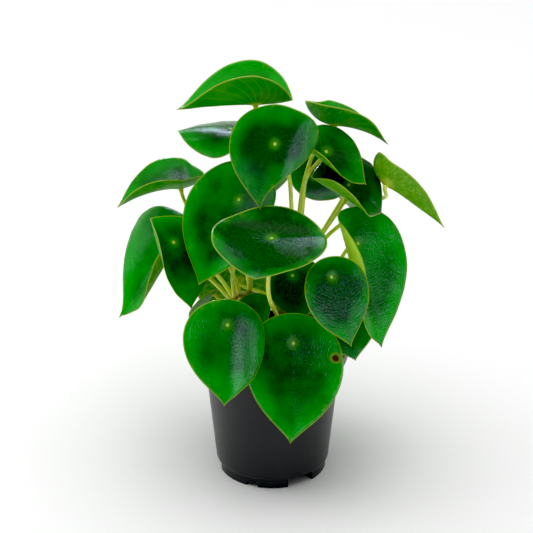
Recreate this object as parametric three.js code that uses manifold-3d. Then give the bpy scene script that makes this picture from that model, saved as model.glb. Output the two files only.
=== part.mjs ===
// Potted peperomia: a bushy raindrop peperomia growing in an 11 cm plastic nursery pot. Millimetres,
// +Z up, front towards -Y. The origin is on the pot's axis, in the plane that its feet stand on.
import * as THREE from "three";
import { mergeVertices } from "three/addons/utils/BufferGeometryUtils.js";
import Module from "manifold-3d";

const wasm = await Module();
wasm.setup();

// Driving dimensions of the pot.
const POT_HEIGHT = 98;
const LIP_RADIUS = 55;
const LIP_HEIGHT = 9;
const WALL_TOP_RADIUS = 49.3;
const WALL_FOOT_RADIUS = 41.2;
const WALL = 1.6;
const FOOT_RADIUS = 39.2;
const FOOT_HEIGHT = 7.7;
const FOOT_WIDTH = 3.4;
const FOOT_DRAFT = 0.4;
const FLOOR = 1.8;
const LIP_DRAFT = 0.7;
const LIP_EDGE = 0.8;
const LIP_INSET = 3;
const NOTCH_DIRECTIONS = [-88, 32, 152];
const NOTCH_ANGLE = 30;
const DRAIN_HOLE_RADIUS = 4.5;
const DRAIN_RING_RADIUS = 26;
const DRAIN_HOLES = 6;

// Driving dimensions of the planting.
const SOIL_TOP = 87;
const ROOT_DEPTH = 24;
const SOIL_SLOPE_WIDTH = 6;
const SOIL_SLOPE_DROP = 2;
const CLEARANCE = 0.3;
const SOIL_GAP = 0.45;
const CUT_MARGIN = 0.01;
const BLADE_THICKNESS = 0.9;
const TIP_TAPER = 0.62;
const TIP_PINCH = 0.9;
const TIP_REACH = 0.12;
const PEAK_STEPS = 60;
const PETIOLE_RADIUS = 1.6;
const PETIOLE_FLARE = 0.12;
const PETIOLE_RISE = 0.4;
const PETIOLE_ARRIVAL = 0.22;
const PETIOLE_END = 6;

// Mesh density.
const ROUND_SIDES = 48;
const SPOKES = 18;
const RINGS = [0.3, 0.62, 0.86, 1];
const PETIOLE_SIDES = 6;
const PETIOLE_STEPS = 8;
const STEM_SIDES = 10;
const STEM_STEPS = 8;

const toRadians = THREE.MathUtils.degToRad;

// A heading is a compass turn about the pot's axis: 0 is the front, 90 the right, 180 the back.
function towards(heading, distance, z) {
  const turn = toRadians(heading);
  return new THREE.Vector3(distance * Math.sin(turn), -distance * Math.cos(turn), z);
}

const MATERIALS = {
  pot: { color: 0x1b1c1e, roughness: 0.42, metalness: 0 },
  soil: { color: 0x2c2019, roughness: 0.95, metalness: 0 },
  stem: { color: 0x8f9a2e, roughness: 0.5, metalness: 0 },
  petiole: { color: 0xa9bd2f, roughness: 0.45, metalness: 0 },
  blade: { color: 0x156b17, roughness: 0.3, metalness: 0 },
};

const plant = new THREE.Group();
plant.name = "potted_peperomia";

function addPiece(name, kind, geometry) {
  geometry.computeVertexNormals();
  const mesh = new THREE.Mesh(geometry, new THREE.MeshStandardMaterial(MATERIALS[kind]));
  mesh.name = name;
  plant.add(mesh);
  return mesh;
}

// Solids for cutting with manifold-3d.
function solidOf(geometry) {
  const bare = new THREE.BufferGeometry();
  bare.setAttribute("position", geometry.getAttribute("position"));
  bare.setIndex(geometry.index);
  const merged = mergeVertices(bare, 1e-3);
  return new wasm.Manifold(
    new wasm.Mesh({
      numProp: 3,
      vertProperties: new Float32Array(merged.getAttribute("position").array),
      triVerts: new Uint32Array(merged.index.array),
    }),
  );
}

function geometryOf(solid) {
  const mesh = solid.getMesh();
  const geometry = new THREE.BufferGeometry();
  const positions = new Float32Array(mesh.vertProperties);
  geometry.setAttribute("position", new THREE.BufferAttribute(positions, 3));
  geometry.setIndex(new THREE.BufferAttribute(new Uint32Array(mesh.triVerts), 1));
  return geometry;
}

// A solid of revolution about +Z from a closed loop of [radius, z] points.
function turned(points, sides = ROUND_SIDES) {
  const outline = points.map(([radius, z]) => new THREE.Vector2(radius, z));
  return new THREE.LatheGeometry(outline, sides).rotateX(Math.PI / 2);
}

// A round bar along a curve.
function bar(curve, radius, sides, steps) {
  const round = new THREE.EllipseCurve(0, 0, radius, radius);
  const section = new THREE.Shape(round.getPoints(sides).slice(0, sides));
  return new THREE.ExtrudeGeometry(section, { steps, bevelEnabled: false, extrudePath: curve });
}

// Radius of the pot's outer wall at a height.
function wallRadius(z) {
  const share = (z - FOOT_HEIGHT) / (POT_HEIGHT - LIP_HEIGHT - FOOT_HEIGHT);
  return THREE.MathUtils.lerp(WALL_FOOT_RADIUS, WALL_TOP_RADIUS, share);
}

// The pot: a tapered wall with a wide lip, a floor with drain holes, and a foot ring cut into three feet.
function makePot() {
  const lipFoot = POT_HEIGHT - LIP_HEIGHT;
  const shell = solidOf(
    turned([
      [0, FOOT_HEIGHT],
      [FOOT_RADIUS - FOOT_WIDTH, FOOT_HEIGHT],
      [FOOT_RADIUS - FOOT_WIDTH, 0],
      [FOOT_RADIUS, 0],
      [FOOT_RADIUS + FOOT_DRAFT, FOOT_HEIGHT],
      [WALL_FOOT_RADIUS, FOOT_HEIGHT],
      [wallRadius(lipFoot), lipFoot],
      [LIP_RADIUS - LIP_DRAFT, lipFoot],
      [LIP_RADIUS, POT_HEIGHT - LIP_EDGE],
      [LIP_RADIUS - LIP_EDGE, POT_HEIGHT],
      [LIP_RADIUS - LIP_EDGE - WALL, POT_HEIGHT],
      [LIP_RADIUS - LIP_INSET, lipFoot + WALL],
      [wallRadius(lipFoot) - WALL, lipFoot - FOOT_DRAFT],
      [WALL_FOOT_RADIUS - WALL, FOOT_HEIGHT + FLOOR],
      [0, FOOT_HEIGHT + FLOOR],
    ]),
  );
  const notches = NOTCH_DIRECTIONS.map((heading) => {
    const corner = new THREE.Vector2(LIP_RADIUS, LIP_RADIUS * Math.tan(toRadians(NOTCH_ANGLE / 2)));
    const wedge = new THREE.Shape([
      new THREE.Vector2(0, 0),
      new THREE.Vector2(corner.x, -corner.y),
      corner,
    ]);
    const notch = new THREE.ExtrudeGeometry(wedge, { depth: 2 * FOOT_HEIGHT, bevelEnabled: false });
    return solidOf(notch.translate(0, 0, -FOOT_HEIGHT - CUT_MARGIN).rotateZ(toRadians(heading - 90)));
  });
  const holes = Array.from({ length: DRAIN_HOLES }, (_, i) => {
    const hole = new THREE.CylinderGeometry(DRAIN_HOLE_RADIUS, DRAIN_HOLE_RADIUS, 3 * FLOOR, 12);
    const place = towards((360 / DRAIN_HOLES) * i, DRAIN_RING_RADIUS, FOOT_HEIGHT + FLOOR / 2);
    return solidOf(hole.rotateX(Math.PI / 2).translate(place.x, place.y, place.z));
  });
  let pot = shell;
  for (const cutter of [...notches, ...holes]) pot = pot.subtract(cutter);
  return addPiece("nursery_pot", "pot", geometryOf(pot));
}

// Main stems, each a short thick curve from inside the soil up to the crown.
const STEMS = [
  { name: "stem_left", radius: 5, foot: [-15, -4], crown: [-21, -7, 142] },
  { name: "stem_front", radius: 4.5, foot: [9, -13], crown: [10, -19, 128] },
  { name: "stem_back", radius: 5, foot: [5, 12], crown: [9, 12, 158] },
];

// Share of a stem's height over which it rises straight before it leans to its crown.
const STEM_BEND = 0.6;

function stemCurve(stem, extraDepth = 0) {
  const foot = new THREE.Vector3(...stem.foot, SOIL_TOP - ROOT_DEPTH - extraDepth);
  const crown = new THREE.Vector3(...stem.crown);
  const bend = new THREE.Vector3(...stem.foot, THREE.MathUtils.lerp(foot.z, crown.z, STEM_BEND));
  return new THREE.QuadraticBezierCurve3(foot, bend, crown);
}

// One row for each leaf. at: where the petiole meets the blade. heading: where the tip points. dip:
// how far the midrib points down. roll: the turn about the midrib, positive when the leaf's left side,
// seen from behind, is the higher one. size: the length, the width, and the part of the length that
// lies behind the petiole. fold: how far the left and the right margin turn up, in degrees. crease:
// how much of that is a fold along the midrib. droop: how far the tip and the heel bend down. taper:
// how early the left and the right half narrow towards the tip, where it isn't the usual TIP_TAPER.
// from: the stem, the height on it and the side where the petiole starts. via: places that the petiole
// passes on its way.
const LEAVES = [
  {
    at: [-12, 22, 272], heading: -92, dip: 1, roll: 8, size: [81, 71, 26],
    crease: 33, fold: [20, 34], droop: [8, -10], from: [2, 156, -100],
    taper: [0.95, 0.62],
  },
  {
    at: [-30, 42, 247], heading: -125, dip: 2, roll: 4, size: [72, 57, 22],
    crease: 0, fold: [-96, -10], droop: [25, 10], from: [0, 136, 150],
  },
  {
    at: [1, -20, 258], heading: -33, dip: 64, roll: 0, size: [73, 67, 27],
    crease: 0, fold: [-100, 12], droop: [6, 10], from: [2, 150, 20],
    taper: [2.6, 0.5],
  },
  {
    at: [-67.6, 75, 188.7], heading: -94, dip: 4, roll: 4, size: [73, 61, 21],
    crease: 18, fold: [22, 30], droop: [32, -55], from: [0, 128, -150],
    taper: [0.62, 0.3],
  },
  {
    at: [-79.4, 62, 154], heading: -60, dip: 52, roll: -20, size: [91.5, 84, 22],
    crease: 0, fold: [100, -36], droop: [8, 20], from: [0, 114, -130],
    taper: [0.62, 2],
  },
  {
    at: [-70, 10, 173], heading: 23, dip: 42, roll: -5, size: [73, 55, 22],
    crease: 0, fold: [10, 85], droop: [10, 10], from: [0, 122, -80],
  },
  {
    at: [-24, 4, 208], heading: -44, dip: 56, roll: 0, size: [94, 79, 28],
    crease: 0, fold: [20, 20], droop: [-6, 0], from: [0, 138, -60],
    taper: [0.62, 0.35],
  },
  {
    at: [-1, -49, 202], heading: -12, dip: 9, roll: 0, size: [78, 79, 25],
    crease: 0, fold: [10, 26], droop: [-2, -68], from: [1, 124, -40],
    taper: [0.15, 0.25], via: [[-3, -39, 156]],
  },
  {
    at: [43, 30, 254], heading: 96, dip: 6, roll: -18, size: [70, 57, 28],
    crease: 12, fold: [48, 26], droop: [32, -70], from: [2, 156, 80],
    via: [[19, 8, 200], [23, 14, 222], [33, 25, 242]],
  },
  {
    at: [37, 6, 243], heading: 66, dip: 31, roll: 32, size: [56, 44, 20],
    crease: 0, fold: [-10, 100], droop: [10, 0], from: [2, 142, 50],
    via: [[20, 0, 196], [24, 9, 224]],
  },
  {
    at: [29, 48, 208], heading: 110, dip: 10, roll: 50, size: [52, 46, 18],
    crease: 0, fold: [0, 40], droop: [0, 0], from: [2, 134, 140],
  },
  {
    at: [53, 9, 217], heading: 66, dip: 22, roll: 38, size: [60, 60, 26],
    crease: 0, fold: [-40, 120], droop: [60, 0], from: [2, 128, 70],
  },
  {
    at: [79.2, 11, 216.8], heading: 74, dip: 28, roll: -56, size: [78, 34, 27],
    crease: 24, fold: [20, 10], droop: [12, -95], from: [2, 124, 100],
    via: [[36, 30, 165], [66, 36, 188], [81, 22, 204]],
  },
  {
    at: [60, -4, 178], heading: 38, dip: 66, roll: 0, size: [102, 79, 26],
    crease: 0, fold: [0, 105], droop: [6, 10], from: [1, 116, 80],
    via: [[38, -6, 150]],
  },
  {
    at: [39.8, -54.6, 175.4], heading: 38, dip: 62, roll: 0, size: [63, 52, 14],
    crease: 0, fold: [10, 0], droop: [4, 10], from: [1, 106, 60],
    via: [[34, -34, 138]],
  },
  {
    at: [14, -14, 158], heading: 24, dip: 60, roll: 0, size: [46, 46, 12],
    crease: 0, fold: [10, 10], droop: [0, 0], from: [1, 118, 140],
  },
  {
    at: [14, -54, 125], heading: -4, dip: 68, roll: 0, size: [90, 70, 21],
    crease: 0, fold: [5, -30], droop: [-4, 14], from: [1, 98, 10],
    taper: [0.42, 0.62],
  },
  {
    at: [-31, -58, 141], heading: -6, dip: 64, roll: 0, size: [73.5, 60, 18],
    crease: 0, fold: [-60, 6], droop: [6, 16], from: [0, 106, -50],
    taper: [0.45, 0.62],
    via: [[-32, -30, 122]],
  },
  {
    at: [-12.5, -24.3, 131], heading: -30, dip: 56, roll: 0, size: [40, 34, 17],
    crease: 0, fold: [60, 0], droop: [0, 0], from: [1, 110, -60],
  },
  {
    at: [51, -14, 121], heading: 30, dip: 56, roll: 0, size: [46, 52, 18],
    crease: 0, fold: [10, 10], droop: [0, 0], from: [1, 100, 70],
  },
  {
    at: [-15, 63, 204], heading: -172, dip: 45, roll: 0, size: [80, 62, 22],
    crease: 0, fold: [14, 14], droop: [10, 10], from: [2, 140, -160],
  },
  {
    at: [54, 72.5, 180], heading: 130, dip: 40, roll: 0, size: [70, 56, 22],
    crease: 0, fold: [16, 12], droop: [10, 10], from: [2, 116, 130],
  },
  {
    at: [68, 50, 148], heading: 120, dip: 60, roll: 0, size: [76, 54, 20],
    crease: 0, fold: [12, 18], droop: [10, 10], from: [2, 108, 100],
  },
  {
    at: [-30, 74, 158], heading: -160, dip: 54, roll: 0, size: [80, 62, 22],
    crease: 0, fold: [14, 14], droop: [10, 10], from: [0, 110, 170],
  },
  {
    at: [-26, 70, 116], heading: -165, dip: 66, roll: 0, size: [76, 60, 20],
    crease: 0, fold: [12, 12], droop: [10, 10], from: [2, 104, -170],
  },
  {
    at: [-43, 38, 120], heading: -120, dip: 50, roll: 0, size: [50, 40, 14],
    crease: 0, fold: [12, 12], droop: [10, 10], from: [0, 100, -110],
  },
  {
    at: [29, 64, 116], heading: 160, dip: 66, roll: 0, size: [76, 60, 20],
    crease: 0, fold: [10, 10], droop: [8, 10], from: [2, 100, 160],
  },
];

// Half-width of a blade's outline before it is scaled, at the outline angle: 0 at the tip, PI at the
// heel.
function outlineWidth(angle, taper) {
  const fromTip = (1 - Math.cos(angle)) / 2;
  const pinch = 1 - TIP_PINCH * Math.exp(-fromTip / TIP_REACH);
  return Math.sin(angle) * Math.sin(angle / 2) ** taper * pinch;
}

// The same as a share of the outline's largest half-width.
function outlineShare(angle, taper) {
  const steps = Array.from({ length: PEAK_STEPS }, (_, step) => (Math.PI * step) / PEAK_STEPS);
  return outlineWidth(angle, taper) / Math.max(...steps.map((turn) => outlineWidth(turn, taper)));
}

// A bent strip: where a point at a distance along it comes to lie, and the slope there. The strip
// starts at one slope and turns evenly by the angle turn over its whole reach.
function bent(distance, reach, start, turn) {
  const slope = start + (turn * distance) / reach;
  if (Math.abs(turn) < 1e-6) {
    return { along: distance * Math.cos(start), rise: distance * Math.sin(start), slope };
  }
  const radius = reach / turn;
  const along = radius * (Math.sin(slope) - Math.sin(start));
  const rise = radius * (Math.cos(start) - Math.cos(slope));
  return { along, rise, slope };
}

// A blade: two sheets that share a sharp margin, rings of points about the place where the petiole
// meets it. In the blade's own frame the midrib runs to the tip along +X, the left half lies along +Y
// and the face is up.
function bladeGeometry(leaf) {
  const [length, width, back] = leaf.size;
  const [foldLeft, foldRight] = leaf.fold.map(toRadians);
  const [droopTip, droopHeel] = leaf.droop.map(toRadians);
  const crease = toRadians(leaf.crease);
  const [taperLeft, taperRight] = leaf.taper ?? [TIP_TAPER, TIP_TAPER];
  const front = length - back;

  function facePoint(ring, spoke) {
    const angle = (2 * Math.PI * spoke) / SPOKES;
    const flatX = RINGS[ring] * (length * (0.5 + Math.cos(angle) / 2) - back);
    const share = outlineShare(angle, angle < Math.PI ? taperLeft : taperRight);
    const flatY = (RINGS[ring] * width * share) / 2;
    const across = bent(Math.abs(flatY), width / 2, crease, flatY > 0 ? foldLeft : foldRight);
    const down = flatX > 0 ? bent(flatX, front, 0, -droopTip) : bent(-flatX, back, 0, -droopHeel);
    const side = Math.sign(flatY) || 0;
    const ahead = flatX > 0 ? 1 : -1;
    const lift = new THREE.Vector3(-Math.sin(down.slope) * ahead, 0, Math.cos(down.slope));
    const point = new THREE.Vector3(down.along * ahead, side * across.along, down.rise);
    point.addScaledVector(lift, across.rise);
    const normal = lift.clone().multiplyScalar(Math.cos(across.slope));
    normal.y = -side * Math.sin(across.slope);
    return { point, normal };
  }

  const vertices = [];
  const faces = [];
  const addPoint = (point) => {
    vertices.push(point.x, point.y, point.z);
    return vertices.length / 3 - 1;
  };
  // One sheet at a depth under the face: its pole and the rings about it. The under sheet takes the upper
  // sheet's margin as its own outermost ring.
  function addSheet(depthAt, margin) {
    const pole = addPoint(new THREE.Vector3(0, 0, -depthAt(0)));
    const rows = RINGS.map((share, ring) => {
      if (share === 1 && margin) return margin;
      return Array.from({ length: SPOKES }, (_, spoke) => {
        const { point, normal } = facePoint(ring, spoke);
        return addPoint(point.addScaledVector(normal, -depthAt(share)));
      });
    });
    const addFace = (a, b, c) => faces.push(...(margin ? [a, c, b] : [a, b, c]));
    for (let spoke = 0; spoke < SPOKES; spoke++) {
      const next = (spoke + 1) % SPOKES;
      addFace(pole, rows[0][spoke], rows[0][next]);
      for (let ring = 0; ring < RINGS.length - 1; ring++) {
        addFace(rows[ring][spoke], rows[ring + 1][spoke], rows[ring + 1][next]);
        addFace(rows[ring][spoke], rows[ring + 1][next], rows[ring][next]);
      }
    }
    return rows[RINGS.length - 1];
  }
  const margin = addSheet(() => 0);
  addSheet((share) => BLADE_THICKNESS * (1 - share ** 3), margin);
  const geometry = new THREE.BufferGeometry();
  geometry.setAttribute("position", new THREE.Float32BufferAttribute(vertices, 3));
  geometry.setIndex(faces);
  return geometry;
}

// A petiole: it leaves its stem outwards and upwards, by way of its own places where it has to go round
// another leaf, and meets the underside of its blade square on.
function petioleCurve(leaf, blade) {
  const [stemIndex, height, side] = leaf.from;
  const stem = STEMS[stemIndex];
  const rise = (height - SOIL_TOP + ROOT_DEPTH) / (stem.crown[2] - SOIL_TOP + ROOT_DEPTH);
  const out = towards(side, 1, 0);
  const start = stemCurve(stem).getPoint(Math.min(rise, 1));
  start.addScaledVector(out, stem.radius + PETIOLE_RADIUS + CLEARANCE);
  const face = new THREE.Vector3(0, 0, 1).applyEuler(blade.rotation);
  const end = new THREE.Vector3(...leaf.at).addScaledVector(face, -(BLADE_THICKNESS + 2 * CLEARANCE));
  if (leaf.via) {
    const places = leaf.via.map((place) => new THREE.Vector3(...place));
    const last = end.clone().addScaledVector(face, -PETIOLE_END);
    return new THREE.CatmullRomCurve3([start, ...places, last, end]);
  }
  const reach = start.distanceTo(end);
  const leave = start.clone().addScaledVector(out, reach * PETIOLE_FLARE);
  leave.z += reach * PETIOLE_RISE;
  const arrive = end.clone().addScaledVector(face, -reach * PETIOLE_ARRIVAL);
  return new THREE.CubicBezierCurve3(start, leave, arrive, end);
}

// The soil fills the pot to below the lip, with a socket round each stem's buried foot.
function makeSoil() {
  const gap = WALL + SOIL_GAP;
  const floor = FOOT_HEIGHT + FLOOR + CLEARANCE;
  let soil = solidOf(
    turned([
      [0, floor],
      [wallRadius(floor) - gap, floor],
      [wallRadius(SOIL_TOP - SOIL_SLOPE_DROP) - gap, SOIL_TOP - SOIL_SLOPE_DROP],
      [wallRadius(SOIL_TOP) - gap - SOIL_SLOPE_WIDTH, SOIL_TOP],
      [0, SOIL_TOP],
    ]),
  );
  for (const stem of STEMS) {
    const socket = bar(stemCurve(stem, CLEARANCE), stem.radius + CLEARANCE, STEM_SIDES, STEM_STEPS);
    soil = soil.subtract(solidOf(socket));
  }
  addPiece("soil", "soil", geometryOf(soil));
}

makePot();
makeSoil();
for (const stem of STEMS) {
  addPiece(stem.name, "stem", bar(stemCurve(stem), stem.radius, STEM_SIDES, STEM_STEPS));
}
LEAVES.forEach((leaf, index) => {
  const number = String(index + 1).padStart(2, "0");
  const blade = addPiece(`blade_${number}`, "blade", bladeGeometry(leaf));
  blade.position.set(...leaf.at);
  blade.rotation.set(toRadians(leaf.roll), toRadians(leaf.dip), toRadians(leaf.heading - 90), "ZYX");
  const petiole = bar(petioleCurve(leaf, blade), PETIOLE_RADIUS, PETIOLE_SIDES, PETIOLE_STEPS);
  addPiece(`petiole_${number}`, "petiole", petiole);
});

export default plant;
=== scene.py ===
"""Potted peperomia: a bushy raindrop peperomia with glossy peltate leaves in a small black nursery pot.

Laid out as an add-on and run as a script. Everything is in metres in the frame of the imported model: +Z up, the
front towards -Y, the origin on the pot's axis in the plane that its feet stand on.
"""

import math

import bmesh
import bpy
import numpy as np
from mathutils import Matrix, Vector, noise


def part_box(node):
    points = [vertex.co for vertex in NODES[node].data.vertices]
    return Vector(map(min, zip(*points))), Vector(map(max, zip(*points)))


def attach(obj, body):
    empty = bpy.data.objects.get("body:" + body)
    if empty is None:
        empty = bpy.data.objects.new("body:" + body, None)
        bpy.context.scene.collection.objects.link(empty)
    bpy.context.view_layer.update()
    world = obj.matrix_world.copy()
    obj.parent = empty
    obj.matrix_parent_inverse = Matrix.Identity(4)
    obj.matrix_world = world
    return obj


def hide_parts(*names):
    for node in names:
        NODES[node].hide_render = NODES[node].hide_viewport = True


bl_info = {
    "name": "Potted Peperomia",
    "version": (1, 0, 0),
    "blender": (4, 5, 0),
    "location": "3D View > Sidebar > Peperomia",
    "description": "Builds a raindrop peperomia in a nursery pot",
    "category": "Add Mesh",
}

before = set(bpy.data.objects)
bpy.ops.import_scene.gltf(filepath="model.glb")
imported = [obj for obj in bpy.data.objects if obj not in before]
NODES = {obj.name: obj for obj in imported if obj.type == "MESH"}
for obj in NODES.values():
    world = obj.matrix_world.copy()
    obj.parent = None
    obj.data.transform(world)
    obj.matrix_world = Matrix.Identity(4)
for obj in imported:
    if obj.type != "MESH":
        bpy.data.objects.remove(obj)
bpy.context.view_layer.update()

MM = 0.001
MERGE = 0.01 * MM

# The face of a blade dips where the petiole meets it: the depth, and the reach in millimetres.
DIMPLE = 0.7 * MM
DIMPLE_REACH = 3.2

LEAF_NUMBERS = sorted(name[-2:] for name in NODES if name.startswith("blade_"))
STEM_NAMES = sorted(name for name in NODES if name.startswith("stem_"))

# How the CAD pieces are meshed: spokes and rings of a blade, sides of a petiole and of a stem.
CAD_SPOKES = 18
CAD_RINGS = 4
PETIOLE_SIDES = 6
STEM_SIDES = 10


# ------------------------------------------------------------------ small tools


def linear(code):
    """An sRGB hex colour as linear RGBA."""
    channels = [int(code[k : k + 2], 16) / 255 for k in (1, 3, 5)]
    return [c / 12.92 if c <= 0.04045 else ((c + 0.055) / 1.055) ** 2.4 for c in channels] + [1.0]


def spline(stops, points, at):
    """The points at the parameters at on the natural cubic spline through points at stops."""
    stops, points, at = (np.asarray(values, float) for values in (stops, points, at))
    gap = np.diff(stops)
    slope = np.diff(points, axis=0) / gap[:, None]
    system = np.eye(len(stops))
    right = np.zeros_like(points)
    for k in range(1, len(stops) - 1):
        system[k, k - 1 : k + 2] = gap[k - 1], 2 * (gap[k - 1] + gap[k]), gap[k]
        right[k] = 6 * (slope[k] - slope[k - 1])
    bend = np.linalg.solve(system, right)
    k = np.clip(np.searchsorted(stops, at) - 1, 0, len(gap) - 1)
    after = (at - stops[k])[:, None]
    span = gap[k][:, None]
    before = span - after
    return (
        (bend[k] * before**3 + bend[k + 1] * after**3) / (6 * span)
        + (points[k] / span - bend[k] * span / 6) * before
        + (points[k + 1] / span - bend[k + 1] * span / 6) * after
    )


def travelled(points):
    """The distance travelled along a row of points, from its first point."""
    steps = np.linalg.norm(np.diff(points, axis=0), axis=1)
    return np.concatenate([[0.0], np.cumsum(steps)])


def merged_copy(node):
    """A mesh of a CAD node's shape with its loose triangles joined. The node itself is left alone."""
    mesh = bmesh.new()
    mesh.from_mesh(NODES[node].data)
    bmesh.ops.remove_doubles(mesh, verts=mesh.verts, dist=MERGE)
    return mesh


def turned(points, steps, merge):
    """A row of points, joined and turned all the way about the Z axis, with its seam and poles merged."""
    mesh = bmesh.new()
    verts = [mesh.verts.new(point) for point in points]
    edges = [mesh.edges.new(pair) for pair in zip(verts, verts[1:])]
    bmesh.ops.spin(
        mesh, geom=verts + edges, cent=(0, 0, 0), axis=(0, 0, 1), angle=math.tau,
        steps=steps, use_merge=True, use_duplicate=False,
    )
    bmesh.ops.remove_doubles(mesh, verts=mesh.verts, dist=merge)
    return mesh


def add_piece(name, mesh, materials, replaces, smooth=True):
    """A finished mesh becomes a piece that rides on the plant's body and stands for CAD nodes."""
    data = bpy.data.meshes.new(name)
    for face in mesh.faces:
        face.smooth = smooth
    mesh.to_mesh(data)
    mesh.free()
    for material in materials:
        data.materials.append(material)
    piece = bpy.data.objects.new(name, data)
    bpy.context.scene.collection.objects.link(piece)
    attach(piece, "root")
    if replaces:
        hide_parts(*replaces)
    return piece


def add_node(tree, kind, links=None, **settings):
    """Adds a shader node with its settings and feeds its inputs.

    An input takes a number, a colour, a socket, or another node, whose first output in use is meant.
    """
    made = tree.nodes.new("ShaderNode" + kind)
    for key, value in settings.items():
        setattr(made, key, value)
    for socket, value in (links or {}).items():
        if isinstance(value, bpy.types.Node):
            value = next(output for output in value.outputs if output.enabled)
        if isinstance(value, bpy.types.NodeSocket):
            tree.links.new(value, made.inputs[socket])
        else:
            made.inputs[socket].default_value = value
    return made


def new_material(name):
    """An empty node material and its tree."""
    material = bpy.data.materials.new(name)
    material.use_nodes = True
    material.node_tree.nodes.clear()
    return material, material.node_tree


# ------------------------------------------------------------------ settings


class PotSettings(bpy.types.PropertyGroup):
    """Sizes and colour of the nursery pot."""

    sides: bpy.props.IntProperty(name="Sides", description="Steps round the pot", default=120, min=24)
    wall: bpy.props.FloatProperty(
        name="Wall", description="Thickness of the moulded wall", default=1.6 * MM, unit="LENGTH"
    )
    colour: bpy.props.FloatVectorProperty(
        name="Colour", description="Colour of the plastic", subtype="COLOR", size=4, default=linear("#1c1d1f")
    )


class SoilSettings(bpy.types.PropertyGroup):
    """The potting mix."""

    crumbs: bpy.props.IntProperty(name="Crumbs", description="Loose crumbs on the soil", default=520, min=0)
    relief: bpy.props.FloatProperty(
        name="Relief", description="Height of the lumps in the surface", default=1.6 * MM, unit="LENGTH"
    )


class LeafSettings(bpy.types.PropertyGroup):
    """Sizes and colours of the leaves."""

    spokes: bpy.props.IntProperty(name="Spokes", description="Steps round a blade", default=96, min=18)
    rings: bpy.props.IntProperty(name="Rings", description="Steps from the petiole to the margin", default=20, min=6)
    thickness: bpy.props.FloatProperty(
        name="Thickness", description="Thickness of a blade", default=0.85 * MM, unit="LENGTH"
    )
    margin: bpy.props.FloatProperty(
        name="Margin", description="Thickness of a blade at its margin", default=0.35 * MM, unit="LENGTH"
    )
    waviness: bpy.props.FloatProperty(
        name="Waviness", description="How far the margin waves up and down", default=0.7 * MM, unit="LENGTH"
    )
    deep: bpy.props.FloatVectorProperty(
        name="Deep green", description="Green of an old face's middle", subtype="COLOR", size=4,
        default=linear("#003c02"),
    )
    # This green is both a young face's colour and the painted glow of light shining through towards a blade's margin.
    fresh_and_lit_green: bpy.props.FloatVectorProperty(
        name="Fresh green", description="Green of a young face and of its margin", subtype="COLOR", size=4,
        default=linear("#0aa208"),
    )
    under: bpy.props.FloatVectorProperty(
        name="Underside", description="Green of the underside", subtype="COLOR", size=4, default=linear("#359a12")
    )


class StalkSettings(bpy.types.PropertyGroup):
    """Sizes of the petioles and stems."""

    sides: bpy.props.IntProperty(name="Sides", description="Sides of a petiole", default=14, min=6)
    steps: bpy.props.IntProperty(name="Steps", description="Steps along a petiole", default=30, min=8)
    petiole_radius: bpy.props.FloatProperty(
        name="Petiole", description="Radius of a petiole halfway", default=1.45 * MM, unit="LENGTH"
    )


# ------------------------------------------------------------------ materials


# The interpolation of a Map Range node that rises or falls smoothly between two limits.
SMOOTH = {"interpolation_type": "SMOOTHSTEP"}
COLOURS = {"data_type": "RGBA"}


def moulded_polypropylene(colour):
    """Black polypropylene, injection moulded: a satin skin with a fine even grain from the mould."""
    material, tree = new_material("moulded_black_polypropylene")
    place = add_node(tree, "TexCoord").outputs["Object"]
    grain = add_node(tree, "TexNoise", {"Vector": place, "Scale": 1 / (0.45 * MM), "Detail": 3.0})
    cloud = add_node(tree, "TexNoise", {"Vector": place, "Scale": 1 / (26 * MM), "Detail": 3.0})
    scuff = add_node(tree, "TexNoise", {"Vector": place, "Scale": 1 / (7 * MM), "Detail": 6.0, "Roughness": 0.7})
    dust = add_node(tree, "MapRange", {"Value": scuff, "From Min": 0.6, "From Max": 0.75, "To Max": 0.25}, **SMOOTH)
    tint = add_node(tree, "Mix", {0: cloud, 6: list(colour), 7: linear("#26272a")}, **COLOURS)
    tint = add_node(tree, "Mix", {0: dust, 6: tint, 7: linear("#302f2e")}, **COLOURS)
    rough = add_node(tree, "MapRange", {"Value": cloud, "To Min": 0.26, "To Max": 0.46})
    bump = add_node(tree, "Bump", {"Height": grain, "Strength": 0.25, "Distance": 0.05 * MM})
    skin = {"Base Color": tint, "Roughness": rough, "Normal": bump, "IOR": 1.49}
    add_node(tree, "OutputMaterial", {"Surface": add_node(tree, "BsdfPrincipled", skin)})
    return material


def moist_peat():
    """Moist peat: near-black brown fibres, rough, with no shine."""
    material, tree = new_material("moist_peat")
    place = add_node(tree, "TexCoord").outputs["Object"]
    lumps = add_node(tree, "TexNoise", {"Vector": place, "Scale": 1 / (4 * MM), "Detail": 8.0, "Roughness": 0.7})
    fibre = add_node(tree, "TexNoise", {"Vector": place, "Scale": 1 / (0.9 * MM), "Detail": 4.0, "Roughness": 0.7})
    damp = add_node(tree, "MapRange", {"Value": lumps, "From Min": 0.35, "From Max": 0.68}, **SMOOTH)
    strand = add_node(tree, "MapRange", {"Value": fibre, "From Min": 0.62, "From Max": 0.74}, **SMOOTH)
    tint = add_node(tree, "Mix", {0: damp, 6: linear("#1d140e"), 7: linear("#4a3524")}, **COLOURS)
    tint = add_node(tree, "Mix", {0: strand, 6: tint, 7: linear("#6b5138")}, **COLOURS)
    height = add_node(tree, "Math", {0: fibre, 1: 0.4, 2: lumps}, operation="MULTIPLY_ADD")
    bump = add_node(tree, "Bump", {"Height": height, "Strength": 0.9, "Distance": 1.2 * MM})
    crust = {"Base Color": tint, "Roughness": 0.92, "Normal": bump}
    add_node(tree, "OutputMaterial", {"Surface": add_node(tree, "BsdfPrincipled", crust)})
    return material


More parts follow.
